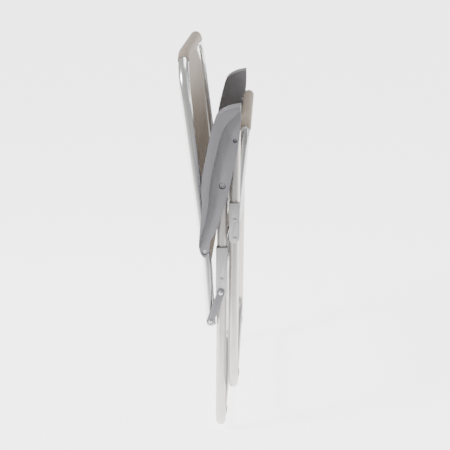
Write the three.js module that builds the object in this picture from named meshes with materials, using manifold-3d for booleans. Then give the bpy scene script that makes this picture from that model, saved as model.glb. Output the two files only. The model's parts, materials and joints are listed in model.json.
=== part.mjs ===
// A folding armchair, folded flat and standing upright: four bent aluminium tube frames, two woven slings,
// two moulded armrests, the links that close the fold, and their pins, brackets, plugs and glides.
// Millimetres. X is the chair's front, Y its left, Z up.
import * as THREE from "three";
import { mergeVertices } from "three/addons/utils/BufferGeometryUtils.js";
import Module from "manifold-3d";

const wasm = await Module();
wasm.setup();

// ---------------------------------------------------------------- driving dimensions

const GAP = 0.3; // between touching pieces
const TUBE_RADIUS = 12.5;
const TUBE_WALL = 1.6;
const BAR_RADIUS = 8; // the two straight cross bars that carry the slings' lower ends
const LEG_Y = 252; // centre of the leg and back tubes, from the middle of the chair
const SEAT_Y = 218; // centre of the seat's side tubes
const LEG_BEND = 48;
const BACK_BEND = 95;
const SEAT_BEND = 48;
const KNEE_BEND = 220; // the slight bends in the side tubes of the back and the seat
const SLING_THICKNESS = 2;
const SLEEVE_RADIUS = TUBE_RADIUS + GAP + SLING_THICKNESS;
const SLEEVE_INSET = 2; // how far a sleeve stops short of the bends or the side tubes
const BACK_SLING_HALF = 225;
const SEAT_SLING_HALF = 202;

// Pivots and ends in side view, in a frame whose X is set so that the whole chair is centred.
const CENTRE_X = 28;
const at = (x, z) => new THREE.Vector2(x + CENTRE_X, z);
const ARM_BACK = at(-49.6, 521); // armrest to back tube
const ARM_REAR = at(-6, 690); // armrest to rear leg
const ARM_FRONT = at(24, 800); // armrest to front leg
const SEAT_PIVOT = at(-9, 448); // seat tube to rear leg
const LINK_TOP = at(-10.5, 412); // back link to rear leg
const LINK_BOTTOM = at(-37, 334); // back link to back tube
const FRONT_RIVET = at(24, 603);
const STAY_LOW = at(23, 556); // seat stay to front leg
const STAY_HIGH = at(29.3, 639); // seat stay to seat tube
const GLIDE = 1.6; // thickness of the glides under the floor bars
const REAR_FOOT = at(-13.5, TUBE_RADIUS + GAP + GLIDE);
const FRONT_FOOT = at(19, 118 + TUBE_RADIUS);
const BACK_TOP = at(-102, 984.5);
const BACK_KNEE = at(-45, 480); // the back tubes bend slightly here, and the lower bar joins them
const BACK_TUBE_END = at(-36.2, 320);
const SEAT_FRONT = at(46, 822);
const SEAT_KNEE = at(26, 604);
const SEAT_TUBE_END = at(-12.4, 433);
const SEAT_BAR = at(-3.4, 472);
const LEG_TOP_REACH = 20; // leg above its armrest pivot

// Layers out from the middle of the chair.
const INNER_CHEEK = [233, 237];
const OUTER_WEB = [267, 270]; // inside face, and the seat of the pivot heads
const WEB_LIP = 280; // where the sloping web meets the armrest's underside
const WEB_SLOPE = THREE.MathUtils.degToRad(12);
const SKIRT_Y = 283;
const BRACKET_OUT = 269;
const BACK_LINK = [269.5, 273.5];
const SEAT_STAY = [234.2, 237.7];
const LINK_WIDTH = 19;
const STAY_WIDTH = 15;
const REAR_BRACKET = { width: 28, from: LEG_Y };
const FRONT_BRACKET = { width: 25, from: LEG_Y + 5 };
const SHANK = 3; // radius of every pin's shank

// ---------------------------------------------------------------- materials

const material = (color, roughness, metalness) =>
  new THREE.MeshStandardMaterial({ color, roughness, metalness });
const polished = () => material(0xdedcd8, 0.22, 1);
const satin = () => material(0xcfccc7, 0.4, 1);
const bracketGrey = () => material(0xb1b0b0, 0.45, 0.8);
const plastic = () => material(0x908f94, 0.5, 0);
const steel = () => material(0xcfced3, 0.3, 1);
const fabric = () => material(0xa09285, 0.85, 0);
const rubber = () => material(0xb9b7b2, 0.7, 0);

// ---------------------------------------------------------------- solids

function solid(geometry) {
  const bare = geometry.index ? geometry.toNonIndexed() : geometry.clone();
  bare.deleteAttribute("normal");
  bare.deleteAttribute("uv");
  const merged = mergeVertices(bare, 1e-4);
  return new wasm.Manifold(
    new wasm.Mesh({
      numProp: 3,
      vertProperties: merged.attributes.position.array,
      triVerts: new Uint32Array(merged.index.array),
    }),
  );
}

function geometryOf(manifold) {
  const { vertProperties, triVerts } = manifold.getMesh();
  const geometry = new THREE.BufferGeometry();
  geometry.setAttribute("position", new THREE.BufferAttribute(new Float32Array(vertProperties), 3));
  geometry.setIndex([...triVerts]);
  return geometry;
}

// A side-view outline pushed out between two Y values on one side of the chair.
function slabGeometry(shape, side, [from, to]) {
  const settings = { depth: to - from, bevelEnabled: false, curveSegments: 5 };
  const geometry = new THREE.ExtrudeGeometry(shape, settings);
  geometry.rotateX(Math.PI / 2);
  geometry.translate(0, side > 0 ? to : -from, 0);
  return geometry;
}

const slab = (shape, side, layer) => solid(slabGeometry(shape, side, layer));

// A bar with round ends about two side-view points.
function barShape(p, q, width) {
  const radius = width / 2;
  const angle = Math.atan2(q.y - p.y, q.x - p.x);
  const shape = new THREE.Shape();
  shape.absarc(p.x, p.y, radius, angle + Math.PI / 2, angle + 1.5 * Math.PI, false);
  shape.absarc(q.x, q.y, radius, angle - Math.PI / 2, angle + Math.PI / 2, false);
  return shape;
}

// A solid of revolution about the Y axis through a side-view point: steps are [radius, from, to] in turn.
function turned(point, side, steps, segments = 12) {
  const profile = [new THREE.Vector2(0, steps[0][1])];
  for (const [radius, from, to] of steps) {
    profile.push(new THREE.Vector2(radius, from), new THREE.Vector2(radius, to));
  }
  profile.push(new THREE.Vector2(0, steps.at(-1)[2]));
  const geometry = new THREE.LatheGeometry(profile, segments);
  if (side < 0) geometry.rotateX(Math.PI);
  geometry.translate(point.x, 0, point.y);
  return solid(geometry);
}

const hole = (point, side, radius, from, to) => turned(point, side, [[radius, from, to]], 8);

// A route of straight runs joined by round bends, as stations that a section is swept through.
class BentRoute extends THREE.Curve {
  constructor(corners, bend, stepsPerBend = 5) {
    super();
    this.stations = [{ point: corners[0], tangent: corners[1].clone().sub(corners[0]).normalize() }];
    for (let i = 1; i < corners.length - 1; i++) {
      const before = corners[i].clone().sub(corners[i - 1]).normalize();
      const after = corners[i + 1].clone().sub(corners[i]).normalize();
      const turn = before.angleTo(after);
      const reach = bend[i - 1] * Math.tan(turn / 2);
      const inward = after.clone().sub(before).normalize();
      const centre = corners[i].clone().addScaledVector(inward, bend[i - 1] / Math.cos(turn / 2));
      const start = corners[i].clone().addScaledVector(before, -reach);
      const axis = before.clone().cross(after).normalize();
      const steps = Math.max(2, Math.round((stepsPerBend * turn) / (Math.PI / 2)));
      for (let step = 0; step <= steps; step++) {
        const angle = (turn * step) / steps;
        const point = start.clone().sub(centre).applyAxisAngle(axis, angle).add(centre);
        this.stations.push({ point, tangent: before.clone().applyAxisAngle(axis, angle) });
      }
    }
    const last = corners.at(-1);
    this.stations.push({ point: last, tangent: last.clone().sub(corners.at(-2)).normalize() });
  }
  get steps() {
    return this.stations.length - 1;
  }
  getPointAt(u) {
    return this.stations[Math.round(u * this.steps)].point.clone();
  }
  getTangentAt(u) {
    return this.stations[Math.round(u * this.steps)].tangent.clone();
  }
}

function sweep(route, radius, wall) {
  const section = new THREE.Shape().absarc(0, 0, radius, 0, 2 * Math.PI, false);
  if (wall) section.holes.push(new THREE.Path().absarc(0, 0, radius - wall, 0, 2 * Math.PI, true));
  const settings = { steps: route.steps, extrudePath: route, curveSegments: 7 };
  return solid(new THREE.ExtrudeGeometry(section, settings));
}

const place = (point, y) => new THREE.Vector3(point.x, y, point.y);
const along = (p, q, distance) => p.clone().add(q.clone().sub(p).setLength(distance));
const rod = (p, q, radius) => sweep(new BentRoute([p, q], []), radius);

// ---------------------------------------------------------------- the chair, node by node

const chair = new THREE.Group();
chair.name = "folding_chair";

function add(name, manifold, look) {
  const mesh = new THREE.Mesh(geometryOf(manifold), look);
  mesh.name = name;
  chair.add(mesh);
}

const SIDES = [["right", -1], ["left", 1]];
const drill = (body, points, radius, from, to) => {
  const bores = SIDES.flatMap(([, side]) => points.map((p) => hole(p, side, radius, from, to)));
  return bores.reduce((left, bore) => left.subtract(bore), body);
};

// A U of tube: up one side, across, and down the other. bends are those of one side, end first.
function uFrame(sideCorners, halfWidth, bends) {
  const one = sideCorners.map((p) => place(p, -halfWidth));
  const other = sideCorners.map((p) => place(p, halfWidth)).reverse();
  const route = new BentRoute([...one, ...other], [...bends, ...bends.slice().reverse()]);
  return sweep(route, TUBE_RADIUS, TUBE_WALL);
}

function frames() {
  const rearTop = along(ARM_REAR, REAR_FOOT, -LEG_TOP_REACH);
  const frontTop = along(ARM_FRONT, FRONT_FOOT, -LEG_TOP_REACH);
  const bore = SHANK + GAP;
  const outside = LEG_Y + TUBE_RADIUS + 1;
  const inside = LEG_Y - TUBE_RADIUS - 1;
  const legHoles = (frame, points) => drill(frame, points, bore, inside, outside);
  const rearLegs = uFrame([rearTop, REAR_FOOT], LEG_Y, [LEG_BEND]);
  add("rear_leg_frame", legHoles(rearLegs, [ARM_REAR, SEAT_PIVOT, LINK_TOP]), satin());
  const frontLegs = uFrame([frontTop, FRONT_FOOT], LEG_Y, [LEG_BEND]);
  add("front_leg_frame", legHoles(frontLegs, [ARM_FRONT, FRONT_RIVET, STAY_LOW]), satin());
  const back = uFrame([BACK_TUBE_END, BACK_KNEE, BACK_TOP], LEG_Y, [KNEE_BEND, BACK_BEND]);
  add("back_frame", legHoles(back, [ARM_BACK]), polished());
  const seat = uFrame([SEAT_TUBE_END, SEAT_KNEE, SEAT_FRONT], SEAT_Y, [KNEE_BEND, SEAT_BEND]);
  const seatHoles = drill(seat, [SEAT_PIVOT], bore, SEAT_Y - TUBE_RADIUS - 1, SEAT_Y + TUBE_RADIUS + 1);
  add("seat_frame", seatHoles, polished());
}

// A straight bar between the side tubes, coped to fit against them.
function crossBar(point, tubeY, sideCorners, bends) {
  const reach = tubeY - TUBE_RADIUS + 2.4;
  const bar = rod(place(point, -reach), place(point, reach), BAR_RADIUS);
  const cutter = (y) => sweep(new BentRoute(sideCorners.map((p) => place(p, y)), bends), TUBE_RADIUS + GAP);
  return bar.subtract(cutter(-tubeY)).subtract(cutter(tubeY));
}

function crossBars() {
  const back = crossBar(BACK_KNEE, LEG_Y, [BACK_TUBE_END, BACK_KNEE, BACK_TOP], [KNEE_BEND]);
  add("back_lower_bar", back, polished());
  const seat = crossBar(SEAT_BAR, SEAT_Y, [SEAT_TUBE_END, SEAT_KNEE, SEAT_FRONT], [KNEE_BEND]);
  add("seat_rear_bar", seat, polished());
}

// A sling: a flat panel from the lower bar to the crossbar, with a sleeve round each.
function sling(name, low, high, halfLow, halfPanel, halfHigh, bend) {
  const run = high.clone().sub(low);
  const slope = Math.atan2(run.x, run.y);
  const length = run.length();
  const outline = new THREE.Shape([
    new THREE.Vector2(-halfPanel, 0),
    new THREE.Vector2(halfPanel, 0),
    new THREE.Vector2(halfPanel, length - bend),
    new THREE.Vector2(halfHigh, length - 2 * TUBE_RADIUS),
    new THREE.Vector2(halfHigh, length),
    new THREE.Vector2(-halfHigh, length),
    new THREE.Vector2(-halfHigh, length - 2 * TUBE_RADIUS),
    new THREE.Vector2(-halfPanel, length - bend),
  ]);
  const panel = new THREE.ExtrudeGeometry(outline, { depth: SLING_THICKNESS, bevelEnabled: false });
  panel.translate(0, 0, -SLING_THICKNESS / 2);
  panel.rotateX(Math.PI / 2);
  panel.rotateZ(Math.PI / 2);
  panel.rotateY(slope);
  panel.translate(low.x, 0, low.y);
  const sleeve = (point, half, radius) => rod(place(point, -half), place(point, half), radius);
  const core = (point, radius) => rod(place(point, -2 * LEG_Y), place(point, 2 * LEG_Y), radius);
  const made = solid(panel)
    .add(sleeve(low, halfLow, BAR_RADIUS + GAP + SLING_THICKNESS))
    .add(sleeve(high, halfHigh, SLEEVE_RADIUS))
    .subtract(core(low, BAR_RADIUS + GAP))
    .subtract(core(high, TUBE_RADIUS + GAP));
  add(name, made, fabric());
}

function slings() {
  const backHigh = LEG_Y - BACK_BEND - SLEEVE_INSET;
  sling("back_sling", BACK_KNEE, BACK_TOP, BACK_SLING_HALF, BACK_SLING_HALF, backHigh, BACK_BEND);
  const seatHigh = SEAT_Y - SEAT_BEND - SLEEVE_INSET;
  const seatLow = SEAT_SLING_HALF - SLEEVE_INSET;
  sling("seat_sling", SEAT_BAR, SEAT_FRONT, seatLow, SEAT_SLING_HALF, seatHigh, SEAT_BEND);
}

// ---------------------------------------------------------------- armrest

// Side-view edges of the armrest, nose first: its top, round its tail, and back along its underside.
const ARM_FRONT_TOP = [[36, 881], [8, 875], [-16, 861], [-27, 838], [-41, 780]];
const ARM_TOP = [...ARM_FRONT_TOP, [-55, 700], [-55, 640], [-60, 581], [-63, 545]];
const ARM_TAIL = [[-61, 520], [-50, 507], [-40, 518]];
const ARM_UNDER = [[-35, 549], [-20, 581], [-6, 622], [12, 690], [30, 780], [36.5, 840]];
const SKIRT_FRONT = [[33, 870], [16, 852], [-2, 830], [-16, 785]];
const SKIRT_EDGE = [...SKIRT_FRONT, [-34, 700], [-39, 640], [-50, 590], [-60, 552], [-66, 500]];
const CHANNEL_TAIL = [[-50, 700], [-46, 640], [-48, 581], [-63, 570], [-75, 540], [-80, 500]];
const WEB_HINGE_X = 12;
const COUNTERBORE = 1.3; // clearance about a pin's head
const SLOT_CLEARANCE = 1.2; // between the back tube and the slot it lies in
const SLOT_REACH = [-60, 300]; // the slot's ends, from the back pivot along the tube
const NOTCH_REACH = [-40, 2];
const NOTCH_WIDTH = 30;
const TOP_THICKNESS = 5;
const LOW_HEAD = [5.5, 2.3]; // heads and tails of the pins, as [radius, thickness]
const SCREW_TAIL = [4.5, 3];
const SEAT_TAIL = [7, 2.7];
const SEAT_HEAD = [6.5, 2.7];
const LINK_TAIL = [6, 2.7];
const LINK_HEAD = [7, 2.7];
const STAY_TAIL = [5.5, 2.5];
const BLIND_TAIL = [4, 4];
const BLIND_REACH = 3.7; // how far a blind rivet's tail starts inside the tube
const SPACER_RADIUS = 8;
const ARM_PIVOTS = [[ARM_BACK, 6], [ARM_REAR, 7], [ARM_FRONT, 4]]; // each pivot and its head's radius

const curve = (points) => new THREE.SplineCurve(points.map(([x, z]) => at(x, z)));

function armOutline() {
  const upper = curve([...ARM_TOP, ...ARM_TAIL]).getPoints(36);
  const under = curve([...ARM_UNDER, ARM_TOP[0]]).getPoints(20);
  const edge = [...upper, ...under];
  edge.pop();
  return new THREE.Shape(edge);
}

// Everything on the underside of a line, out past the armrest.
function beyond(points, shift = [0, 0]) {
  const line = curve(points.map(([x, z]) => [x + shift[0], z + shift[1]])).getPoints(20);
  return new THREE.Shape([...line, at(-40, 480), at(90, 480), at(90, line[0].y)]);
}

// The hollow of the outer web: a cut that slopes from deep beside the skirt to shallow at the underside.
function webRecess(side) {
  const geometry = slabGeometry(beyond(SKIRT_EDGE), side, [0, 40]);
  const line = ARM_FRONT.clone().sub(ARM_REAR).normalize();
  const axis = new THREE.Vector3(line.x, 0, line.y);
  const hinge = at(WEB_HINGE_X, ARM_REAR.y);
  geometry.translate(-hinge.x, 0, -hinge.y);
  geometry.applyMatrix4(new THREE.Matrix4().makeRotationAxis(axis, side * WEB_SLOPE));
  geometry.translate(hinge.x, side * WEB_LIP, hinge.y);
  return solid(geometry);
}

function armrest(side) {
  const whole = slab(armOutline(), side, [INNER_CHEEK[0], SKIRT_Y]);
  const layer = [INNER_CHEEK[1], OUTER_WEB[0]];
  const channelLine = beyond([...ARM_FRONT_TOP, ...CHANNEL_TAIL], [TOP_THICKNESS, -TOP_THICKNESS]);
  const channel = slab(channelLine, side, layer);
  const slotEnds = SLOT_REACH.map((reach) => along(ARM_BACK, BACK_TOP, reach));
  const tubeSlot = slab(barShape(...slotEnds, 2 * (TUBE_RADIUS + SLOT_CLEARANCE)), side, layer);
  const notchEnds = NOTCH_REACH.map((reach) => along(ARM_BACK, ARM_REAR, reach));
  const notch = slab(barShape(...notchEnds, NOTCH_WIDTH), side, layer);
  let made = whole.subtract(channel).subtract(webRecess(side)).subtract(tubeSlot).subtract(notch);
  for (const [pivot, head] of ARM_PIVOTS) {
    const bore = [SHANK + GAP, INNER_CHEEK[0] - 1, OUTER_WEB[1]];
    const counterbore = [head + COUNTERBORE, OUTER_WEB[1], SKIRT_Y + 1];
    made = made.subtract(turned(pivot, side, [bore, counterbore], 20));
  }
  return made;
}

// ---------------------------------------------------------------- brackets, links and pins

// A saddle over the outer half of a leg tube: square at the top, round below.
function bracket(side, { width, from }, top, low, legLow, legHigh) {
  const half = width / 2;
  const shape = new THREE.Shape();
  shape.moveTo(top.x + half, top.y);
  shape.lineTo(top.x - half, top.y);
  shape.absarc(low.x, low.y, half, Math.PI, 2 * Math.PI, false);
  const cover = slab(shape, side, [from, BRACKET_OUT]);
  return cover.subtract(rod(place(legLow, side * LEG_Y), place(legHigh, side * LEG_Y), TUBE_RADIUS + GAP));
}

const pierced = (body, side, points, radius) => {
  const bores = points.map((point) => hole(point, side, radius, SEAT_Y, SKIRT_Y));
  return bores.reduce((left, bore) => left.subtract(bore), body);
};

// A pin's steps across the chair: a tail inside the first face, a shank, and a head outside the second.
const pinSteps = ([tailRadius, tailDepth], from, to, [headRadius, headDepth]) => [
  [tailRadius, from - GAP - tailDepth, from - GAP],
  [SHANK, from - GAP, to + GAP],
  [headRadius, to + GAP, to + GAP + headDepth],
];

function eachSide(name, side) {
  const bore = SHANK + GAP;
  const tubeOut = LEG_Y + TUBE_RADIUS;
  const tubeIn = LEG_Y - TUBE_RADIUS;
  add(`armrest_${name}`, armrest(side), plastic());

  const rearPlate = bracket(side, REAR_BRACKET, at(-8.2, 530), at(-9.2, 412), REAR_FOOT, ARM_REAR);
  add(`rear_leg_bracket_${name}`, pierced(rearPlate, side, [SEAT_PIVOT, LINK_TOP], bore), bracketGrey());
  const frontPlate = bracket(side, FRONT_BRACKET, at(22.8, 645), at(22.2, 556), FRONT_FOOT, ARM_FRONT);
  add(`front_leg_bracket_${name}`, pierced(frontPlate, side, [FRONT_RIVET, STAY_LOW], bore), bracketGrey());

  const link = slab(barShape(LINK_TOP, LINK_BOTTOM, LINK_WIDTH), side, BACK_LINK);
  add(`back_link_${name}`, pierced(link, side, [LINK_TOP, LINK_BOTTOM], bore), plastic());
  const stay = slab(barShape(STAY_LOW, STAY_HIGH, STAY_WIDTH), side, SEAT_STAY);
  add(`seat_stay_${name}`, pierced(stay, side, [STAY_LOW, STAY_HIGH], bore), steel());

  ["back", "rear_leg", "front_leg"].forEach((tube, i) => {
    const [pivot, head] = ARM_PIVOTS[i];
    const steps = pinSteps(SCREW_TAIL, INNER_CHEEK[0], OUTER_WEB[1], [head, LOW_HEAD[1]]);
    add(`armrest_${tube}_pin_${name}`, turned(pivot, side, steps), steel());
  });

  const seatPin = pinSteps(SEAT_TAIL, SEAT_Y - TUBE_RADIUS, BRACKET_OUT, SEAT_HEAD);
  add(`seat_pivot_pin_${name}`, turned(SEAT_PIVOT, side, seatPin), steel());
  const ring = turned(SEAT_PIVOT, side, [[SPACER_RADIUS, SEAT_Y + TUBE_RADIUS + GAP, tubeIn - GAP]]);
  add(`seat_pivot_spacer_${name}`, ring.subtract(hole(SEAT_PIVOT, side, bore, SEAT_Y, LEG_Y)), plastic());

  const linkPin = pinSteps(LINK_TAIL, tubeIn, BACK_LINK[1], LINK_HEAD);
  add(`back_link_upper_rivet_${name}`, turned(LINK_TOP, side, linkPin), steel());
  const spacedTail = [LINK_TAIL[0], BACK_LINK[0] - tubeOut - 2 * GAP];
  const lowRivet = pinSteps(spacedTail, BACK_LINK[0], BACK_LINK[1], LINK_HEAD);
  add(`back_link_lower_rivet_${name}`, turned(LINK_BOTTOM, side, lowRivet), steel());

  const plateRivet = pinSteps(BLIND_TAIL, tubeOut - BLIND_REACH, BRACKET_OUT, LOW_HEAD);
  add(`front_bracket_rivet_${name}`, turned(FRONT_RIVET, side, plateRivet), steel());
  const stayPin = pinSteps(STAY_TAIL, SEAT_STAY[0], BRACKET_OUT, LOW_HEAD);
  add(`seat_stay_lower_rivet_${name}`, turned(STAY_LOW, side, stayPin), steel());
  const stayHigh = [
    [LINK_TAIL[0], SEAT_Y + TUBE_RADIUS + GAP, SEAT_STAY[0] - GAP],
    [SHANK, SEAT_STAY[0] - GAP, SEAT_STAY[1]],
  ];
  add(`seat_stay_upper_rivet_${name}`, turned(STAY_HIGH, side, stayHigh), steel());

  plugsAndGlides(name, side);
}

const PLUG_CAP = 2.6;
const PLUG_STEM = 8;
const GLIDE_LENGTH = 30;
const GLIDE_INSET = 40; // from a floor bar's bend to the glide's middle
const GLIDE_RISE = 3; // how far a glide reaches above the bar's middle

// A plug in a tube's end: a cap, and a stem inside the tube.
function plug(end, inner, y) {
  const cap = along(end, inner, -PLUG_CAP);
  const start = along(end, inner, -GAP);
  const tip = along(end, inner, PLUG_STEM);
  const stem = rod(place(along(end, inner, -1), y), place(tip, y), TUBE_RADIUS - TUBE_WALL - GAP);
  return rod(place(cap, y), place(start, y), TUBE_RADIUS).add(stem);
}

// A glide strapped under a floor bar: a half sleeve about the bar's underside.
function glide(foot, side) {
  const middle = LEG_Y - LEG_BEND - GLIDE_INSET;
  const from = place(foot, side * (middle - GLIDE_LENGTH / 2));
  const to = place(foot, side * (middle + GLIDE_LENGTH / 2));
  const sleeve = rod(from, to, TUBE_RADIUS + GAP + GLIDE).subtract(rod(from, to, TUBE_RADIUS + GAP));
  const upper = new THREE.Shape([at(-80, 0), at(80, 0), at(80, 60), at(-80, 60)]);
  const reach = [middle - GLIDE_LENGTH, middle + GLIDE_LENGTH];
  const cut = slab(upper, side, reach).translate([0, 0, foot.y + GLIDE_RISE]);
  return sleeve.subtract(cut);
}

function plugsAndGlides(name, side) {
  add(`back_tube_plug_${name}`, plug(BACK_TUBE_END, BACK_KNEE, side * LEG_Y), plastic());
  add(`seat_tube_plug_${name}`, plug(SEAT_TUBE_END, SEAT_KNEE, side * SEAT_Y), plastic());
  add(`rear_leg_glide_${name}`, glide(REAR_FOOT, side), rubber());
  add(`front_leg_glide_${name}`, glide(FRONT_FOOT, side), rubber());
}

frames();
crossBars();
slings();
for (const [name, side] of SIDES) eachSide(name, side);

export default chair;
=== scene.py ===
import json
import math

import bpy
import numpy as np
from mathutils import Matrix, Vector


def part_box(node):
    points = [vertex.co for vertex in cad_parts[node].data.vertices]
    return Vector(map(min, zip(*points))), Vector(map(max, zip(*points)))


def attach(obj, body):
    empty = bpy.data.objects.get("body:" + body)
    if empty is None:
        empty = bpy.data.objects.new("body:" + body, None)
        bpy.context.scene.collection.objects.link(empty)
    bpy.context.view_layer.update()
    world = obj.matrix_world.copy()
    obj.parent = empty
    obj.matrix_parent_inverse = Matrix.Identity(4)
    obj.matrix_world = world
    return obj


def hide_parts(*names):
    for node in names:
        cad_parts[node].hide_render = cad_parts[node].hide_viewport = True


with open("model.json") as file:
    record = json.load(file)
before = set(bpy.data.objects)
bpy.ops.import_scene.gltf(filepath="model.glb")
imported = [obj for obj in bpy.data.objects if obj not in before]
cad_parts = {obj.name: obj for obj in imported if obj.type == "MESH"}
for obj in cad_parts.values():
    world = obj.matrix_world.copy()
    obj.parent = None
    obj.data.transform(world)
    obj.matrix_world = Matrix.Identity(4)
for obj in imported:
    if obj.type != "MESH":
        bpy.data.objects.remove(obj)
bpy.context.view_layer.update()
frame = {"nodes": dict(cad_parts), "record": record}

SIDES = (("right", -1), ("left", 1))
BODIES = frame["record"]["behaviour"]["bodies"]

# ---------------------------------------------------------------- sizes, in metres

TUBE_RADIUS = 0.0125
TUBE_WALL = 0.0016
TUBE_SIDES = 40
BAR_RADIUS = 0.008
LEG_BEND = 0.048
BACK_BEND = 0.095
SEAT_BEND = 0.048
KNEE_BEND = 0.22
KNEE_OF_SEAT = Vector((0.054, 0, 0.604))
SHANK_RADIUS = 0.003
CLOTH = 0.0011  # thickness of one layer of the sling
POCKET_GAP = 0.0004  # between a tube and the pocket around it
LOW_SEAM = 0.024  # from a bar's middle to the seam of its pocket
HIGH_SEAM = 0.032
TUCK = 0.006  # how far the sheet reaches in between a pocket's two layers
STITCH = 0.022  # from the sheet's edge to its hem's stitching
TENSION = 0.008  # how much shorter the sheet is cut than it is stretched
PANEL_ROWS = 64
PANEL_COLUMNS = 44
WEIGHT_SHARE = 0.04
SIM_FRAMES = 22
FLOOR_GLOW = 3.4
YARN_PITCH = 0.0014
RELIEF = 0.0004  # depth of the grain and the drawn lines
FINE_RELIEF = 0.0003
WELD = 0.000005  # points closer than this are one
LONGEST_STEP = 0.06  # along a straight run of tube
BEND_STEP = 0.008
POCKET_LENGTHS = 16
POCKET_ARC_STEPS = 22
POCKET_FLAP_STEPS = 4
TAIL_CHAMFER = 0.0006
SEAM_STITCH = 0.004  # from a pocket's seam to its stitching
BAR_COPE = 0.0015  # how far a bar's round end stops short of the coped tip


def low(node):
    return Vector(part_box(node)[0])


def high(node):
    return Vector(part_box(node)[1])


def middle(node):
    return (low(node) + high(node)) / 2


LEG_Y = high("rear_leg_frame").y - TUBE_RADIUS
SEAT_Y = high("seat_frame").y - TUBE_RADIUS


# ---------------------------------------------------------------- node groups

def new_group(name, inputs, outputs):
    """An empty shader node group with its sockets, and its input and output nodes."""
    group = bpy.data.node_groups.new(name, "ShaderNodeTree")
    for label, kind, default in inputs:
        socket = group.interface.new_socket(label, in_out="INPUT", socket_type=kind)
        if default is not None:
            socket.default_value = default
    for label, kind in outputs:
        group.interface.new_socket(label, in_out="OUTPUT", socket_type=kind)
    return group, group.nodes.new("NodeGroupInput"), group.nodes.new("NodeGroupOutput")


def node(tree, kind, **settings):
    """A node with its attributes set; in_NAME or in_INDEX gives an unlinked socket's value."""
    made = tree.nodes.new(kind)
    for key, value in settings.items():
        if key.startswith("in_"):
            socket = key[3:].replace("_", " ")
            made.inputs[int(socket) if socket.isdigit() else socket].default_value = value
        else:
            setattr(made, key, value)
    return made


def maths(tree, operation, first, second=0.5, clamp=False):
    """A Math node, each input a socket or a number. Returns its result."""
    made = tree.nodes.new("ShaderNodeMath")
    made.operation = operation
    made.use_clamp = clamp
    for slot, value in zip(made.inputs, (first, second)):
        if isinstance(value, (int, float)):
            slot.default_value = value
        else:
            tree.links.new(value, slot)
    return made.outputs[0]


def spread(tree, value, from_low, from_high, to_low=0.0, to_high=1.0):
    """A smooth Map Range of a socket."""
    made = node(tree, "ShaderNodeMapRange", interpolation_type="SMOOTHSTEP",
                in_1=from_low, in_2=from_high, in_3=to_low, in_4=to_high)
    tree.links.new(value, made.inputs[0])
    return made.outputs[0]


def noise(tree, vector, scale, detail=3.0, rough=0.55):
    made = node(tree, "ShaderNodeTexNoise", in_Scale=scale, in_Detail=detail, in_Roughness=rough)
    tree.links.new(vector, made.inputs["Vector"])
    return made.outputs["Fac"]


def stretched(tree, vector, scale):
    made = node(tree, "ShaderNodeMapping")
    made.inputs["Scale"].default_value = scale
    tree.links.new(vector, made.inputs["Vector"])
    return made.outputs[0]


def mixed(tree, factor, first, second):
    """A colour mix, each colour a socket or a tuple."""
    made = node(tree, "ShaderNodeMix", data_type="RGBA")
    tree.links.new(factor, made.inputs[0])
    for slot, value in ((made.inputs[6], first), (made.inputs[7], second)):
        if isinstance(value, tuple):
            slot.default_value = value
        else:
            tree.links.new(value, slot)
    return made.outputs[2]


def bump(tree, height, strength, distance):
    made = node(tree, "ShaderNodeBump", in_Strength=strength, in_Distance=distance)
    tree.links.new(height, made.inputs["Height"])
    return made.outputs[0]


SURFACE = [("Color", "NodeSocketColor"), ("Roughness", "NodeSocketFloat"),
           ("Height", "NodeSocketFloat")]
COLOURS = [("Light", "NodeSocketColor", None), ("Dark", "NodeSocketColor", None)]


def scaled(tree, value, factor):
    return maths(tree, "MULTIPLY", value, factor)


def added(tree, first, second, clamp=False):
    return maths(tree, "ADD", first, second, clamp)


def finish_group(group, out, colour, roughness, height):
    """Joins a group's three results to its output."""
    for label, value in (("Color", colour), ("Roughness", roughness), ("Height", height)):
        group.links.new(value, out.inputs[label])
    return group


def drawn_tube_group():
    """Drawn and polished tube: wide dark bands along it that are painted reflections, fine die lines and
    cloudy handling marks.
    """
    group, given, out = new_group(
        "drawn_tube",
        [("Along", "NodeSocketVector", None), *COLOURS,
         ("Streak", "NodeSocketFloat", 0.5), ("Roughness", "NodeSocketFloat", 0.3)],
        SURFACE)
    along = given.outputs["Along"]
    # Painted reflection: the wide dark bands along the tube stand in for a darker surrounding mirrored in
    # the metal. The handling marks are the tube's own.
    painted_reflection_bands = spread(group, noise(group, stretched(group, along, (62, 62, 1.6)), 1.0, 2.0), 0.46, 0.66)
    fine = noise(group, stretched(group, along, (900, 900, 3)), 1.0, 2.0)
    marks = spread(group, noise(group, stretched(group, along, (40, 40, 14)), 1.0, 5.0, 0.7), 0.5, 0.75)
    painted_reflection_and_marks = added(group, scaled(group, painted_reflection_bands, 0.75), scaled(group, marks, 0.3))
    painted_reflection_and_marks = maths(group, "MULTIPLY", painted_reflection_and_marks, given.outputs["Streak"], clamp=True)
    lines = scaled(group, maths(group, "SUBTRACT", fine, 0.5), 0.12)
    shade = added(group, painted_reflection_and_marks, lines, clamp=True)
    colour = mixed(group, shade, given.outputs["Light"], given.outputs["Dark"])
    rough = added(group, given.outputs["Roughness"], scaled(group, marks, 0.14))
    rough = added(group, rough, scaled(group, fine, 0.05))
    return finish_group(group, out, colour, rough, added(group, fine, scaled(group, marks, 0.6)))


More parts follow.
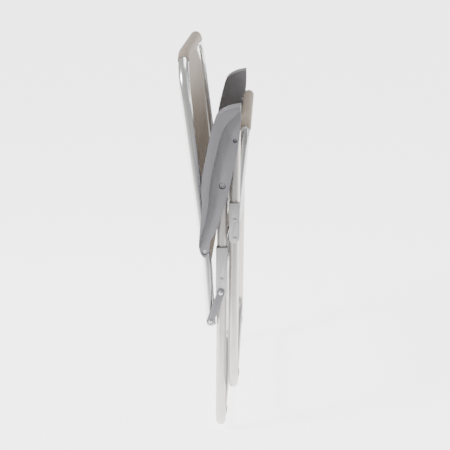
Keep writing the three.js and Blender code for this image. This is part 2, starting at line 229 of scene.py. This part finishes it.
def moulded_grain_group():
    """Moulded plastic: fine spark-eroded grain, faint flow clouds and scuffs."""
    group, given, out = new_group(
        "moulded_grain",
        [("Place", "NodeSocketVector", None), *COLOURS, ("Roughness", "NodeSocketFloat", 0.5)],
        SURFACE)
    place = given.outputs["Place"]
    grain = noise(group, place, 1400.0, 2.0)
    cloud = noise(group, place, 22.0, 3.0)
    scuff = noise(group, stretched(group, place, (160, 160, 30)), 1.0, 6.0, 0.75)
    scuff = spread(group, scuff, 0.6, 0.72)
    shade = added(group, scaled(group, cloud, 0.7), scaled(group, grain, 0.3))
    colour = mixed(group, shade, given.outputs["Dark"], given.outputs["Light"])
    rough = added(group, given.outputs["Roughness"], scaled(group, scuff, -0.1))
    rough = added(group, rough, scaled(group, grain, 0.08))
    return finish_group(group, out, colour, rough, added(group, grain, scaled(group, scuff, -0.25)))


def weave_group():
    """Plain weave of coated yarn on a map in metres: round warp and weft that pass over each other, with
    painted shade darkening the gaps between the yarns.
    """
    colours = [(label, "NodeSocketColor", None) for label in ("Warp", "Weft", "Gap_Shade")]
    group, given, out = new_group(
        "coated_weave",
        [("Map", "NodeSocketVector", None), ("Pitch", "NodeSocketFloat", YARN_PITCH), *colours],
        SURFACE)
    parts = node(group, "ShaderNodeSeparateXYZ")
    group.links.new(given.outputs["Map"], parts.inputs[0])
    across = maths(group, "DIVIDE", parts.outputs[0], given.outputs["Pitch"])
    along = maths(group, "DIVIDE", parts.outputs[1], given.outputs["Pitch"])

    def yarn(value):
        """One at a yarn's middle, nought between yarns."""
        wave = maths(group, "SINE", scaled(group, value, math.pi), 0)
        return maths(group, "POWER", maths(group, "ABSOLUTE", wave, 0), 0.6)

    def parity(value):
        return maths(group, "MODULO", maths(group, "ABSOLUTE", maths(group, "FLOOR", value, 0), 0), 2.0)

    over = maths(group, "ABSOLUTE", maths(group, "SUBTRACT", parity(across), parity(along)), 0)
    under = maths(group, "SUBTRACT", 1.0, over)

    def crown(value, on_top):
        """A yarn's height: full where it passes over, about half where it passes under."""
        lift = added(group, scaled(group, on_top, 0.45), 0.55)
        return maths(group, "MULTIPLY", yarn(value), lift)

    warp_top, weft_top = crown(across, over), crown(along, under)
    height = maths(group, "MAXIMUM", warp_top, weft_top)
    is_warp = maths(group, "GREATER_THAN", warp_top, weft_top)
    yarns = mixed(group, is_warp, given.outputs["Weft"], given.outputs["Warp"])
    # Painted shade: the colour goes towards the darker gap tone where the yarns dip, darkening the gaps
    # between them; the random patches below use the same tone.
    depth = spread(group, height, 0.25, 0.8)
    patch = noise(group, given.outputs["Map"], 26.0, 4.0, 0.6)
    yarns_with_painted_gap_shade = mixed(group, depth, given.outputs["Gap_Shade"], yarns)
    shade = scaled(group, spread(group, patch, 0.35, 0.8), 0.22)
    colour = mixed(group, shade, yarns_with_painted_gap_shade, given.outputs["Gap_Shade"])
    rough = maths(group, "SUBTRACT", 0.82, scaled(group, height, 0.2))
    return finish_group(group, out, colour, rough, height)


DRAWN = drawn_tube_group()
GRAIN = moulded_grain_group()
WEAVE = weave_group()


# ---------------------------------------------------------------- materials

def tone(code):
    """A hexadecimal screen colour as linear light."""
    channels = [int(code[i:i + 2], 16) / 255 for i in (1, 3, 5)]
    return tuple(c / 12.92 if c <= 0.04045 else ((c + 0.055) / 1.055) ** 2.4 for c in channels) + (1.0,)


def material(name, metallic=0.0, **shader_values):
    """A material with its Principled shader. Returns the material, its tree and the shader."""
    made = bpy.data.materials.new(name)
    made.use_nodes = True
    shader = made.node_tree.nodes["Principled BSDF"]
    shader.inputs["Metallic"].default_value = metallic
    for label, value in shader_values.items():
        shader.inputs[label.replace("_", " ")].default_value = value
    return made, made.node_tree, shader


def dress(tree, shader, group, vector, colours, bump_strength, bump_distance, **values):
    """Puts a node group in a material and feeds the shader from it."""
    placed = node(tree, "ShaderNodeGroup", node_tree=group)
    tree.links.new(vector, placed.inputs[0])
    for label, value in {**colours, **values}.items():
        placed.inputs[label].default_value = value
    tree.links.new(placed.outputs["Color"], shader.inputs["Base Color"])
    tree.links.new(placed.outputs["Roughness"], shader.inputs["Roughness"])
    relief = bump(tree, placed.outputs["Height"], bump_strength, bump_distance)
    tree.links.new(relief, shader.inputs["Normal"])
    return placed


def tube_finish(name, light, dark, reflection_and_marks_strength, roughness, metallic):
    made, tree, shader = material(name, metallic)
    along = node(tree, "ShaderNodeAttribute", attribute_name="along_tube")
    colours = {"Light": tone(light), "Dark": tone(dark)}
    dress(tree, shader, DRAWN, along.outputs["Vector"], colours, 0.06, RELIEF,
          Streak=reflection_and_marks_strength, Roughness=roughness)
    return made


def object_finish(name, group, light, dark, metallic, roughness, strength, distance, **values):
    made, tree, shader = material(name, metallic)
    place = node(tree, "ShaderNodeTexCoord").outputs["Object"]
    colours = {"Light": tone(light), "Dark": tone(dark)}
    dress(tree, shader, group, place, colours, strength, distance, Roughness=roughness, **values)
    return made


def sling_finish():
    """Coated yarn, with a folded and stitched hem along the panel's edges."""
    made, tree, shader = material("taupe_sling", Sheen_Weight=0.15, Sheen_Roughness=0.5)
    place = node(tree, "ShaderNodeUVMap", uv_map="cloth")
    # The darker gap tone is painted shade between the yarns, and also tints random darker patches.
    placed = dress(tree, shader, WEAVE, place.outputs[0],
                   {"Warp": tone("#b3a596"), "Weft": tone("#a29484"), "Gap_Shade": tone("#7a6d60")},
                   0.5, 0.0005, Pitch=YARN_PITCH)
    edge = node(tree, "ShaderNodeAttribute", attribute_name="edge_distance").outputs["Fac"]
    from_stitching = maths(tree, "ABSOLUTE", maths(tree, "SUBTRACT", edge, STITCH), 0)
    groove = maths(tree, "SUBTRACT", 1.0, spread(tree, from_stitching, 0.0004, 0.0016))
    colour = mixed(tree, scaled(tree, groove, 0.45), placed.outputs["Color"], tone("#5f554b"))
    tree.links.new(colour, shader.inputs["Base Color"])
    return made


def metal(name, light, dark, metallic, roughness, reflection_and_marks_strength, distance=RELIEF):
    """Brushed or cast metal on a small part, with the same painted reflection bands as the tubes."""
    return object_finish(name, DRAWN, light, dark, metallic, roughness, 0.05, distance, Streak=reflection_and_marks_strength)


def plastic(name, light, dark, roughness, strength):
    return object_finish(name, GRAIN, light, dark, 0.0, roughness, strength, RELIEF)


def finishes():
    return {
        # Each metal's second, darker tone is mostly the colour of its painted reflection bands, which
        # stand in for a darker surrounding mirrored in the metal, and partly of its die lines and
        # handling marks; the plastics' second tones are their own.
        "polished_tube": tube_finish("polished_aluminium", "#e9e9e7", "#7c7b82", 0.75, 0.18, 0.92),
        "satin_tube": tube_finish("satin_aluminium", "#cbc8c4", "#999693", 0.55, 0.36, 0.7),
        "leg_bracket": metal("bracket_grey", "#bfbebe", "#a4a4a6", 0.45, 0.4, 0.6),
        "armrest_plastic": plastic("armrest_grey", "#858489", "#77767b", 0.42, 0.12),
        "link_plastic": plastic("link_grey", "#828187", "#737278", 0.4, 0.1),
        "plug_plastic": plastic("plug_grey", "#77767b", "#68676c", 0.5, 0.1),
        "pin_steel": metal("rivet_steel", "#dcdbe0", "#b4b3b8", 0.85, 0.28, 0.5, FINE_RELIEF),
        "rivet_grey": metal("rivet_dull", "#aaa9ad", "#8b8a8f", 0.5, 0.4, 0.5, FINE_RELIEF),
        "sling_fabric": sling_finish(),
        "glide_rubber": plastic("glide_grey", "#cfccc7", "#bebbb6", 0.6, 0.15),
    }


FINISH = finishes()


# ---------------------------------------------------------------- modelling helpers

def body_of(cad_node):
    return next(body for body, nodes in BODIES.items() if cad_node in nodes)


def begin():
    """Leaves edit mode and selects nothing."""
    if bpy.context.object and bpy.context.object.mode != "OBJECT":
        bpy.ops.object.mode_set(mode="OBJECT")
    bpy.ops.object.select_all(action="DESELECT")


def settle(piece, name, finish, smooth_angle=40.0):
    """Names the piece, puts its place in its mesh, and gives it its finish and smooth shading."""
    bpy.ops.object.mode_set(mode="OBJECT")
    bpy.ops.object.select_all(action="DESELECT")
    piece.select_set(True)
    bpy.context.view_layer.objects.active = piece
    bpy.ops.object.transform_apply(location=True, rotation=True, scale=True)
    bpy.ops.object.shade_smooth_by_angle(angle=math.radians(smooth_angle))
    piece.name = piece.data.name = name
    piece.data.materials.clear()
    piece.data.materials.append(FINISH[finish])
    return piece


def apply_modifier(piece, kind, **settings):
    begin()
    piece.select_set(True)
    bpy.context.view_layer.objects.active = piece
    added = piece.modifiers.new(kind.lower(), kind)
    for key, value in settings.items():
        setattr(added, key, value)
    bpy.ops.object.modifier_apply(modifier=added.name)


def stand_for(piece, cad_node):
    """The piece rides where the CAD node does and stands for it."""
    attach(piece, body_of(cad_node))
    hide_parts(cad_node)


def recalculate():
    bpy.ops.mesh.select_all(action="SELECT")
    bpy.ops.mesh.remove_doubles(threshold=WELD)
    bpy.ops.mesh.normals_make_consistent(inside=False)


# ---------------------------------------------------------------- bent tube

def route_of(corners, bends):
    """The moves along straight runs and bends, and the stations: a point, direction and distance each."""
    moves, stations, distance = [], [], 0.0
    here = corners[0]
    heading = (corners[1] - corners[0]).normalized()
    stations.append((here, heading, 0.0))
    for i in range(1, len(corners)):
        if i == len(corners) - 1:
            end = corners[i]
        else:
            after = (corners[i + 1] - corners[i]).normalized()
            turn = heading.angle(after)
            reach = bends[i - 1] * math.tan(turn / 2)
            end = corners[i] - heading * reach
        run = end - here
        parts = max(1, round(run.length / LONGEST_STEP))
        for part in range(1, parts + 1):
            stations.append((here + run * part / parts, heading, distance + run.length * part / parts))
        distance += run.length
        moves.append(("run", run, parts))
        if i == len(corners) - 1:
            break
        inward = (after - heading).normalized()
        centre = corners[i] + inward * bends[i - 1] / math.cos(turn / 2)
        axis = heading.cross(after).normalized()
        steps = max(3, round(turn * bends[i - 1] / BEND_STEP))
        moves.append(("bend", centre, axis, turn, steps))
        for step in range(1, steps + 1):
            turned_by = turn * step / steps
            spoke = end - centre
            rotated = spoke * math.cos(turned_by) + axis.cross(spoke) * math.sin(turned_by)
            direction = heading * math.cos(turned_by) + axis.cross(heading) * math.sin(turned_by)
            stations.append((centre + rotated, direction, distance + bends[i - 1] * turned_by))
        distance += bends[i - 1] * turn
        here = centre + rotated
        heading = after
    return moves, stations


def mark_along(piece, stations, name="along_tube"):
    """Stores, at each vertex, its place around the section and its distance along the tube."""
    centres = np.array([s[0] for s in stations])
    headings = np.array([s[1] for s in stations])
    distances = np.array([s[2] for s in stations])
    points = np.empty(len(piece.data.vertices) * 3)
    piece.data.vertices.foreach_get("co", points)
    points = points.reshape(-1, 3)
    nearest = np.argmin(((points[:, None, :] - centres[None]) ** 2).sum(2), axis=1)
    first = np.array([1.0, 0.0, 0.0]) - headings * headings[:, :1]
    first /= np.linalg.norm(first, axis=1)[:, None]
    second = np.cross(headings, first)
    spokes = points - centres[nearest]
    around = np.stack([(spokes * first[nearest]).sum(1), (spokes * second[nearest]).sum(1)], axis=1)
    values = np.column_stack([around, distances[nearest]])
    layer = piece.data.attributes.new(name, "FLOAT_VECTOR", "POINT")
    layer.data.foreach_set("vector", values.ravel())


def swept(corners, bends, radius, wall, sides=TUBE_SIDES):
    """A tube: a ring that is extruded along each straight run and spun round each bend."""
    moves, stations = route_of(corners, bends)
    begin()
    facing = (corners[1] - corners[0]).to_track_quat("Z", "Y").to_euler()
    bpy.ops.mesh.primitive_circle_add(vertices=sides, radius=radius, location=corners[0],
                                      rotation=facing)
    piece = bpy.context.object
    bpy.ops.object.transform_apply(location=True, rotation=True, scale=True)
    bpy.ops.object.mode_set(mode="EDIT")
    bpy.ops.mesh.select_all(action="SELECT")
    for move in moves:
        if move[0] == "run":
            for _ in range(move[2]):
                step = move[1] / move[2]
                bpy.ops.mesh.extrude_edges_move(TRANSFORM_OT_translate={"value": step})
        else:
            _, centre, axis, turn, steps = move
            bpy.ops.mesh.spin(steps=steps, angle=-turn, center=centre, axis=axis)
    recalculate()
    bpy.ops.object.mode_set(mode="OBJECT")
    mark_along(piece, stations)
    apply_modifier(piece, "SOLIDIFY", thickness=wall, offset=-1.0)
    return piece


def across(point, y):
    return Vector((point.x, y, point.z))


def u_corners(side_points, half_width):
    """Side-view points, end first, as the corners of a U from the chair's right to its left."""
    right = [across(p, -half_width) for p in side_points]
    left = [across(p, half_width) for p in reversed(side_points)]
    return right + left


def frame_points():
    """The middles of the frames' tubes in side view, from the frame's own boxes."""
    r = TUBE_RADIUS

    def foot(name):
        return Vector((low(name).x + r, 0, low(name).z + r))

    def top(name):
        return Vector((high(name).x - r, 0, high(name).z))

    back_end = Vector((high("back_frame").x - r, 0, low("back_frame").z))
    back_top = Vector((low("back_frame").x + r, 0, high("back_frame").z - r))
    seat_end = Vector((low("seat_frame").x + r, 0, low("seat_frame").z))
    seat_end.z += r * abs((KNEE_OF_SEAT - seat_end).normalized().x)
    seat_front = Vector((high("seat_frame").x - r, 0, high("seat_frame").z - r))
    knee = middle("back_lower_bar")
    knee.y = 0
    return {
        "rear_leg_frame": ([top("rear_leg_frame"), foot("rear_leg_frame")], [LEG_BEND], LEG_Y),
        "front_leg_frame": ([top("front_leg_frame"), foot("front_leg_frame")], [LEG_BEND], LEG_Y),
        "back_frame": ([back_end, knee, back_top], [KNEE_BEND, BACK_BEND], LEG_Y),
        "seat_frame": ([seat_end, KNEE_OF_SEAT, seat_front], [KNEE_BEND, SEAT_BEND], SEAT_Y),
    }


POINTS = frame_points()


def tube_frames():
    for name, (points, bends, half_width) in POINTS.items():
        slot = "satin_tube" if "leg" in name else "polished_tube"
        tube = swept(u_corners(points, half_width), bends + bends[::-1], TUBE_RADIUS, TUBE_WALL)
        stand_for(settle(tube, f"{name}_tube", slot), name)


def cross_bars():
    for name in ("back_lower_bar", "seat_rear_bar"):
        centre = middle(name)
        reach = high(name).y - BAR_COPE
        bar = swept([across(centre, -reach), across(centre, reach)], [], BAR_RADIUS, TUBE_WALL)
        stand_for(settle(bar, f"{name}_tube", "polished_tube"), name)


# ---------------------------------------------------------------- turned pieces

def drawn(points):
    """A line drawn by extruding one vertex from point to point, left selected in edit mode."""
    begin()
    bpy.ops.mesh.primitive_plane_add(size=0.001, location=points[0])
    piece = bpy.context.object
    bpy.ops.object.transform_apply(location=True, rotation=True, scale=True)
    bpy.ops.object.mode_set(mode="EDIT")
    bpy.ops.mesh.select_all(action="SELECT")
    bpy.ops.mesh.merge(type="CENTER")
    bpy.ops.mesh.select_all(action="SELECT")
    for before, after in zip(points, points[1:]):
        bpy.ops.mesh.extrude_region_move(TRANSFORM_OT_translate={"value": after - before})
    bpy.ops.mesh.select_all(action="SELECT")
    return piece


def turned(profile, point, side, steps=32):
    """A piece of revolution about the line across the chair through a point. The profile's points
    are a radius and a distance from the chair's middle, from the middle outwards."""
    piece = drawn([Vector((point.x + r, side * y, point.z)) for r, y in profile])
    bpy.ops.mesh.spin(steps=steps, angle=2 * math.pi, center=(point.x, 0, point.z), axis=(0, 1, 0))
    recalculate()
    return piece


def dome(radius, start, height, rings=5):
    """A low domed head's profile, from its rim to its middle."""
    angles = [math.pi / 2 * i / rings for i in range(rings + 1)]
    return [(radius * math.cos(a), start + height * math.sin(a)) for a in angles]


def socket_head(radius, start, height):
    """A screw head with a shallow round recess, which reads as a ring."""
    lip = radius * 0.62
    return [(radius, start), (radius, start + height * 0.7), (radius * 0.92, start + height),
            (lip, start + height), (lip * 0.92, start + height * 0.35), (0, start + height * 0.3)]


def rivet(name, side, head, head_size, tail_size, finish):
    """A rivet in the place of a CAD pin: tail, shank and head. Sizes are (radius, thickness)."""
    near, far = sorted((abs(low(name).y), abs(high(name).y)))
    tail_radius, tail_depth = tail_size
    head_radius, head_depth = head_size
    start = far - head_depth
    tail = [(0, near), (tail_radius * 0.85, near), (tail_radius, near + TAIL_CHAMFER),
            (tail_radius, near + tail_depth)]
    shank = [(SHANK_RADIUS, near + tail_depth), (SHANK_RADIUS, start)]
    piece = turned(tail + shank + head(head_radius, start, head_depth), middle(name), side)
    stand_for(settle(piece, f"{name}_turned", finish, 35), name)


# The CAD pins by name, each with its head's shape and size, its tail's size and its finish.
SCREW_TAIL = (0.0045, 0.003)
RIVETS = {
    "armrest_back_pin": (socket_head, (0.0058, 0.0023), SCREW_TAIL, "pin_steel"),
    "armrest_rear_leg_pin": (socket_head, (0.0068, 0.0023), SCREW_TAIL, "rivet_grey"),
    "armrest_front_leg_pin": (socket_head, (0.0038, 0.0023), SCREW_TAIL, "rivet_grey"),
    "seat_pivot_pin": (dome, (0.0046, 0.0026), (0.006, 0.0027), "rivet_grey"),
    "back_link_upper_rivet": (dome, (0.0052, 0.0027), (0.006, 0.0027), "pin_steel"),
    "back_link_lower_rivet": (dome, (0.0052, 0.0027), (0.006, 0.0044), "pin_steel"),
    "front_bracket_rivet": (dome, (0.0044, 0.0023), (0.004, 0.004), "rivet_grey"),
    "seat_stay_lower_rivet": (dome, (0.005, 0.0023), (0.0055, 0.0025), "rivet_grey"),
    "seat_stay_upper_rivet": (dome, (0.0029, 0.0004), (0.006, 0.0031), "pin_steel"),
}


def rivets():
    for name, side in SIDES:
        for pin, (head, head_size, tail_size, finish) in RIVETS.items():
            rivet(f"{pin}_{name}", side, head, head_size, tail_size, finish)


# ---------------------------------------------------------------- pieces taken from their CAD solids

def rounded(cad_node, name, finish, width):
    """A copy of a CAD node with its triangles merged into flat faces and its edges rounded."""
    begin()
    source = frame["nodes"][cad_node]
    piece = source.copy()
    piece.data = source.data.copy()
    piece.parent = None
    bpy.context.collection.objects.link(piece)
    piece.select_set(True)
    bpy.context.view_layer.objects.active = piece
    bpy.ops.object.mode_set(mode="EDIT")
    bpy.ops.mesh.select_all(action="SELECT")
    bpy.ops.mesh.remove_doubles(threshold=0.00001)
    bpy.ops.mesh.dissolve_limited(angle_limit=math.radians(1.0))
    bpy.ops.object.mode_set(mode="OBJECT")
    apply_modifier(piece, "BEVEL", width=width, segments=3, limit_method="ANGLE",
                   angle_limit=math.radians(35), use_clamp_overlap=True, harden_normals=False)
    stand_for(settle(piece, name, finish, 32), cad_node)


# The CAD solids to round: the piece made of each, its finish, and the width of its rounded edges.
ROUNDED = {
    "armrest": ("armrest_shell", "armrest_plastic", 0.0014),
    "rear_leg_bracket": ("rear_leg_saddle", "leg_bracket", 0.0012),
    "front_leg_bracket": ("front_leg_saddle", "leg_bracket", 0.0012),
    "back_link": ("back_link_bar", "link_plastic", 0.0008),
    "seat_stay": ("seat_stay_bar", "pin_steel", 0.0006),
    "seat_pivot_spacer": ("seat_pivot_bush", "plug_plastic", 0.0005),
    "back_tube_plug": ("back_tube_cap", "plug_plastic", 0.0009),
    "seat_tube_plug": ("seat_tube_cap", "plug_plastic", 0.0009),
    "rear_leg_glide": ("rear_leg_foot", "glide_rubber", 0.0004),
    "front_leg_glide": ("front_leg_foot", "glide_rubber", 0.0004),
}


def cad_pieces():
    for name, _ in SIDES:
        for solid, (piece, finish, width) in ROUNDED.items():
            rounded(f"{solid}_{name}", f"{piece}_{name}", finish, width)


# ---------------------------------------------------------------- slings

def cloth_map(piece, along_axis, across_axis):
    """A map in metres: across the sling, and along it from end to end."""
    layer = piece.data.uv_layers.new(name="cloth")
    for loop in piece.data.loops:
        point = piece.data.vertices[loop.vertex_index].co
        layer.data[loop.index].uv = (point.dot(across_axis), point.dot(along_axis))


def sleeve_map(piece, radius):
    """The same map round a sleeve, from the place around its tube and the distance along it."""
    layer = piece.data.uv_layers.new(name="cloth")
    marks = piece.data.attributes["along_tube"].data
    values = np.empty(len(marks) * 3)
    marks.foreach_get("vector", values)
    values = values.reshape(-1, 3)
    for face in piece.data.polygons:
        angles = [math.atan2(values[i][1], values[i][0]) for i in face.vertices]
        wrap = max(angles) - min(angles) > math.pi
        for loop_index, vertex, angle in zip(face.loop_indices, face.vertices, angles):
            turn = angle + 2 * math.pi if wrap and angle < 0 else angle
            layer.data[loop_index].uv = (values[vertex][2], turn * radius)


def edge_distances(piece, distance_of):
    layer = piece.data.attributes.new("edge_distance", "FLOAT", "POINT")
    layer.data.foreach_set("value", [distance_of(vertex.co) for vertex in piece.data.vertices])


def bend_sleeve(name, frame_name, side, turn):
    """The end of a top pocket, where it follows the frame a little way round its bend."""
    points, bends, half = POINTS[frame_name]
    top, bend = points[-1], bends[-1]
    down = (points[-2] - top).normalized()
    straight = half - bend
    reach = bend * math.tan(turn / 2)
    heading = Vector((0, side * math.cos(turn), 0)) + down * math.sin(turn)
    corner = across(top, side * (straight + reach))
    route = [across(top, side * (straight - 0.001)), corner, corner + heading * (reach + 0.002)]
    outer = TUBE_RADIUS + POCKET_GAP + CLOTH
    piece = swept(route, [bend], outer, CLOTH, 32)
    sleeve_map(piece, outer)
    end, back = route[-1], -heading
    edge_distances(piece, lambda place: STITCH + (place - end).dot(back) - 0.006)
    return settle(piece, name, "sling_fabric", 50)


def pocket_section(centre, towards, radius, seam):
    """A pocket's section: from the seam, round the bar, and back to the seam."""
    normal = towards.cross(Vector((0, 1, 0)))
    lean = math.acos(radius / seam)
    sweep = 2 * math.pi - 2 * lean
    arc = [lean + sweep * i / POCKET_ARC_STEPS for i in range(POCKET_ARC_STEPS + 1)]
    round_bar = [centre + radius * (towards * math.cos(a) + normal * math.sin(a)) for a in arc]
    lip = centre + towards * seam
    first, last = lip + normal * CLOTH * 1.05, lip - normal * CLOTH * 1.05
    flap = range(POCKET_FLAP_STEPS + 1)
    leaving = [first.lerp(round_bar[0], i / POCKET_FLAP_STEPS) for i in flap[:-1]]
    returning = [round_bar[-1].lerp(last, i / POCKET_FLAP_STEPS) for i in flap[1:]]
    return leaving + round_bar + returning


def pocket(name, centre, towards, radius, seam, half):
    """The straight pocket that the sling makes around a bar, sewn to the sheet along its seam."""
    section = pocket_section(centre, towards, radius + POCKET_GAP + CLOTH / 2, seam)
    piece = drawn([across(place, -half) for place in section])
    step = (0, 2 * half / POCKET_LENGTHS, 0)
    for _ in range(POCKET_LENGTHS):
        bpy.ops.mesh.extrude_region_move(TRANSFORM_OT_translate={"value": step})
    recalculate()
    apply_modifier(piece, "SOLIDIFY", thickness=CLOTH, offset=0.0)
    run = np.cumsum([0.0] + [(b - a).length for a, b in zip(section, section[1:])])
    places = np.array([[p.x, p.z] for p in section])

    def along(place):
        return run[np.argmin(((places - (place.x, place.z)) ** 2).sum(1))]

    layer = piece.data.uv_layers.new(name="cloth")
    for loop in piece.data.loops:
        place = piece.data.vertices[loop.vertex_index].co
        layer.data[loop.index].uv = (place.y, along(place))
    lip = centre + towards * seam
    edge_distances(piece, lambda place: STITCH + min(
        half - abs(place.y), abs((lip - place).dot(towards) - SEAM_STITCH)))
    return settle(piece, name, "sling_fabric", 50)


def panel_half(distance_to_top, half, half_top, bend):
    """Half the panel's width: narrow at the top pocket, then cut away beside the frame's bend."""
    share = (distance_to_top - HIGH_SEAM) / (bend + 0.008 - HIGH_SEAM)
    share = min(1.0, max(0.0, share))
    return half_top + (half - half_top) * math.sin(share * math.pi / 2) ** 0.9


def panel(name, low_point, high_point, half, frame_name):
    """The sling's stretched sheet, from inside one pocket's seam to inside the other's."""
    _, bends, frame_half = POINTS[frame_name]
    half_top = frame_half - bends[-1]
    direction = (high_point - low_point).normalized()
    start = low_point + direction * (LOW_SEAM - TUCK)
    end = high_point - direction * (HIGH_SEAM - TUCK)
    span = end - start
    begin()
    bpy.ops.mesh.primitive_grid_add(
        x_subdivisions=PANEL_COLUMNS, y_subdivisions=PANEL_ROWS, size=1.0)
    piece = bpy.context.object
    for vertex in piece.data.vertices:
        share_across, share_along = vertex.co.x * 2, vertex.co.y + 0.5
        place = start + span * share_along
        to_top = (high_point - place).length
        vertex.co = across(place, share_across * panel_half(to_top, half, half_top, bends[-1]))

    def gap_to_edge(place):
        to_top = (high_point - across(place, 0)).length
        return panel_half(to_top, half, half_top, bends[-1]) - abs(place.y)

    edge_distances(piece, gap_to_edge)
    cloth_map(piece, direction, Vector((0, 1, 0)))
    area = sum(face.area for face in piece.data.polygons)
    stretch(piece, start, direction, span.length)
    apply_modifier(piece, "SOLIDIFY", thickness=CLOTH, offset=0.0)
    return settle(piece, name, "sling_fabric", 50), [2 * half, span.length], area


def stretch(piece, start, direction, length):
    """Pulls the sheet taut between its seams, so that its free edges draw in between them."""
    pinned = piece.vertex_groups.new(name="pinned")
    rows = [(vertex.index, (vertex.co - start).dot(direction)) for vertex in piece.data.vertices]
    pinned.add([i for i, at in rows if not TUCK < at < length - TUCK], 1.0, "REPLACE")
    begin()
    piece.select_set(True)
    bpy.context.view_layer.objects.active = piece
    cloth = piece.modifiers.new("cloth", "CLOTH")
    cloth.settings.quality = 10
    cloth.settings.mass = 0.1
    cloth.settings.tension_stiffness = 80
    cloth.settings.compression_stiffness = 80
    cloth.settings.shear_stiffness = 20
    cloth.settings.bending_stiffness = 6
    cloth.settings.tension_damping = 20
    cloth.settings.shrink_min = TENSION
    cloth.settings.effector_weights.gravity = WEIGHT_SHARE
    cloth.settings.vertex_group_mass = "pinned"
    cloth.collision_settings.use_collision = False
    cloth.point_cache.frame_start = 1
    cloth.point_cache.frame_end = SIM_FRAMES
    for moment in range(1, SIM_FRAMES + 1):
        bpy.context.scene.frame_set(moment)
    bpy.ops.object.modifier_apply(modifier="cloth")
    bpy.context.scene.frame_set(1)


def sling(name, frame_name, bar_name, half, turn):
    """A sling: a pocket on the frame's crossbar, one on the lower bar, and the sheet between them."""
    points, bends, frame_half = POINTS[frame_name]
    low_point, high_point = across(middle(bar_name), 0), across(points[-1], 0)
    direction = (high_point - low_point).normalized()
    straight = frame_half - bends[-1]
    top = pocket(f"{name}_top_pocket", high_point, -direction, TUBE_RADIUS, HIGH_SEAM, straight)
    bottom = pocket(f"{name}_low_pocket", low_point, direction, BAR_RADIUS, LOW_SEAM, half - 0.002)
    ends = [bend_sleeve(f"{name}_sleeve_{label}", frame_name, side, turn) for label, side in SIDES]
    sheet, flat, area = panel(f"{name}_panel", low_point, high_point, half, frame_name)
    for piece in (sheet, top, bottom, *ends):
        stand_for(piece, name)


def slings():
    sling("back_sling", "back_frame", "back_lower_bar", high("back_sling").y, math.radians(28))
    sling("seat_sling", "seat_frame", "seat_rear_bar", high("seat_sling").y, math.radians(38))


# ---------------------------------------------------------------- stage

def floor():
    """A pale floor that glows softly from just in front of the chair backwards."""
    begin()
    bpy.ops.mesh.primitive_plane_add(size=60, location=(0, 0, -0.0005))
    stage = bpy.context.object
    made, tree, shader = material("pale_floor", Specular_IOR_Level=0.1)
    shader.inputs["Base Color"].default_value = (0.95, 0.95, 0.95, 1)
    shader.inputs["Roughness"].default_value = 0.9
    shader.inputs["Emission Color"].default_value = (1, 1, 1, 1)
    parts = node(tree, "ShaderNodeSeparateXYZ")
    tree.links.new(node(tree, "ShaderNodeTexCoord").outputs["Object"], parts.inputs[0])
    glow = spread(tree, parts.outputs[1], -1.4, -0.6, 0.0, FLOOR_GLOW)
    tree.links.new(glow, shader.inputs["Emission Strength"])
    stage.name = "floor"
    stage.data.materials.append(made)


def lamp(name, place, aim, size, power):
    light = bpy.data.lights.new(name, "AREA")
    light.shape = "RECTANGLE"
    light.size, light.size_y = size
    light.energy = power
    made = bpy.data.objects.new(name, light)
    made.location = place
    made.rotation_euler = (Vector(aim) - Vector(place)).to_track_quat("-Z", "Y").to_euler()
    bpy.context.collection.objects.link(made)


def studio():
    world = bpy.data.worlds.new("pale_studio")
    world.use_nodes = True
    background = world.node_tree.nodes["Background"]
    background.inputs["Color"].default_value = (1, 1, 1, 1)
    background.inputs["Strength"].default_value = 0.52
    bpy.context.scene.world = world
    lamp("key", (-2.1, -1.1, 2.2), (0, 0, 0.6), (0.6, 0.6), 72)
    lamp("top", (0.7, 0.3, 2.8), (0, 0, 0.6), (1.2, 1.2), 24)
    lamp("rim", (2.2, -0.2, 1.5), (0, 0, 0.6), (0.7, 1.6), 7)


def camera():
    data = bpy.data.cameras.new("camera")
    data.sensor_width = 36
    data.lens = 68
    made = bpy.data.objects.new("camera", data)
    made.location = (0.121, -2.200, 1.277)
    made.rotation_euler = (math.radians(90 - 19.56), 0, math.radians(2.76))
    bpy.context.collection.objects.link(made)
    bpy.context.scene.camera = made


# ---------------------------------------------------------------- build

camera()
tube_frames()
cross_bars()
cad_pieces()
rivets()
slings()
floor()
studio()
